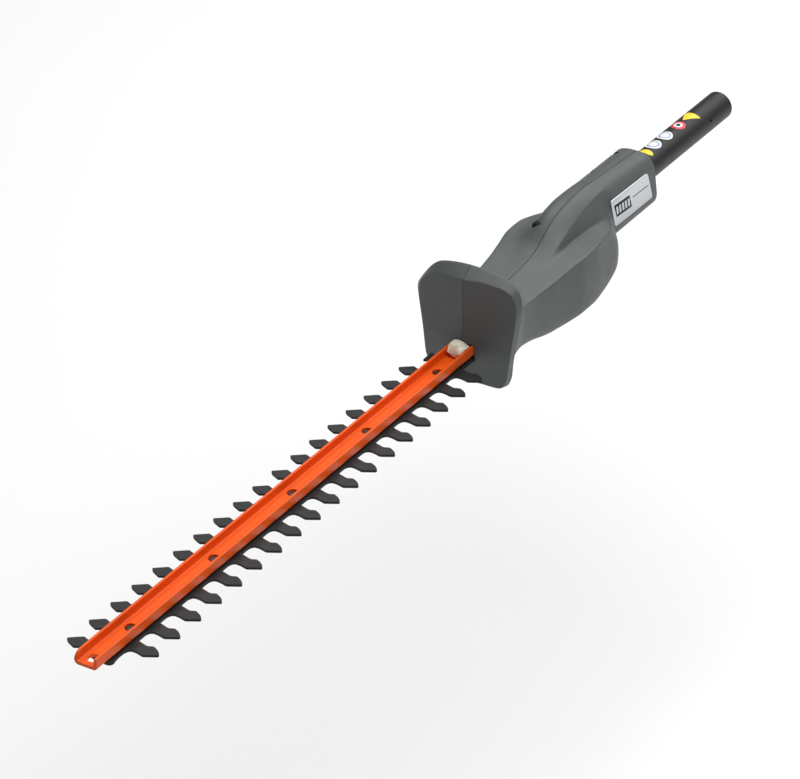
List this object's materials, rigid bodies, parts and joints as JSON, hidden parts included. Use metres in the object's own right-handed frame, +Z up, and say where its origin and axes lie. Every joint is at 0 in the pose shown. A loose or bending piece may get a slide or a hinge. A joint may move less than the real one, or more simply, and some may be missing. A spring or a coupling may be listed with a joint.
{
  "type": "hedge trimmer attachment",
  "caption": "Straight double-sided hedge trimmer attachment for a split-boom power head: orange guide bar, reciprocating blades, guard, grey gear housing and short black boom tube.",
  "frame": {"origin": "centre of the boom tube's open end, on the tube's axis", "axes": "+Y runs out of the tube's open end, so the blades are at -Y; +Z is up, square to the blades; +X is the side with the label"},
  "size_m": [0.0988, 0.8584, 0.1026],
  "materials": {
    "housing_plastic": "moulded nylon, fine matt texture, warm mid grey",
    "bar_paint": "glossy orange powder coat",
    "blade_steel": "black oxide, ground along the teeth",
    "bright_steel": "zinc plated or ground",
    "cast_aluminium": "as die cast",
    "tube_paint": "gloss black powder coat",
    "felt": "pressed wool felt",
    "label_film": "silver film, blank",
    "bronze": "sintered bronze"
  },
  "bodies": {
    "housing": {"bar_screw_1": "bright_steel", "bar_screw_2": "bright_steel", "blade_bushing_1": "bright_steel", "blade_bushing_2": "bright_steel", "blade_bushing_3": "bright_steel", "blade_bushing_4": "bright_steel", "blade_bushing_5": "bright_steel", "blade_screw_1": "bright_steel", "blade_screw_2": "bright_steel", "blade_screw_3": "bright_steel", "blade_screw_4": "bright_steel", "blade_screw_5": "bright_steel", "blade_washer_1": "bright_steel", "blade_washer_2": "bright_steel", "blade_washer_3": "bright_steel", "blade_washer_4": "bright_steel", "blade_washer_5": "bright_steel", "boom_tube": "tube_paint", "button_spring": "bright_steel", "crank_bearing_lower": "bright_steel", "crank_bearing_upper": "bright_steel", "felt_wiper": "felt", "gear_case": "cast_aluminium", "gear_case_cover": "cast_aluminium", "guide_bar": "bar_paint", "housing_left": "housing_plastic", "housing_right": "housing_plastic", "housing_screw_1": "bright_steel", "housing_screw_2": "bright_steel", "housing_screw_3": "bright_steel", "housing_screw_4": "bright_steel", "housing_screw_5": "bright_steel", "housing_screw_6": "bright_steel", "name_label": "label_film", "pinion_bearing_front": "bright_steel", "pinion_bearing_rear": "bright_steel", "shaft_bushing_1": "bronze", "shaft_bushing_2": "bronze"},
    "crank": {"crankshaft": "bright_steel", "bevel_gear": "bright_steel"},
    "input_shaft": {"pinion_shaft": "bright_steel", "shaft_coupler": "bright_steel", "drive_shaft": "bright_steel"},
    "upper_blade": {"upper_blade": "blade_steel"},
    "lower_blade": {"lower_blade": "blade_steel"},
    "lock_button": {"lock_button": "bright_steel"}
  },
  "joints": [
    {"name": "lower_blade_slide", "type": "slide", "parent": "housing", "child": "lower_blade", "axis": [0, 1, 0], "range_m": [-0.00591, 0.00591]},
    {"name": "upper_blade_slide", "type": "slide", "parent": "housing", "child": "upper_blade", "axis": [0, 1, 0], "range_m": [-0.00591, 0.00591]},
    {"name": "crank_spin", "type": "hinge", "parent": "housing", "child": "crank", "pos_m": [0, -0.267, -0.02], "axis": [0, 0, 1], "continuous": true},
    {"name": "input_spin", "type": "hinge", "parent": "housing", "child": "input_shaft", "pos_m": [0, -0.15, 0], "axis": [0, 1, 0], "continuous": true},
    {"name": "lock_button_press", "type": "slide", "parent": "housing", "child": "lock_button", "axis": [0, 0, 1], "range_m": [0, 0.0038], "stiffness_N_per_m": 900, "springref_m": -0.003, "deforming": ["button_spring"]}
  ],
  "couplings": [
    {"joint": "upper_blade_slide", "follows": "lower_blade_slide", "ratio": -1},
    {"joint": "input_spin", "follows": "crank_spin", "ratio": 4}
  ]
}
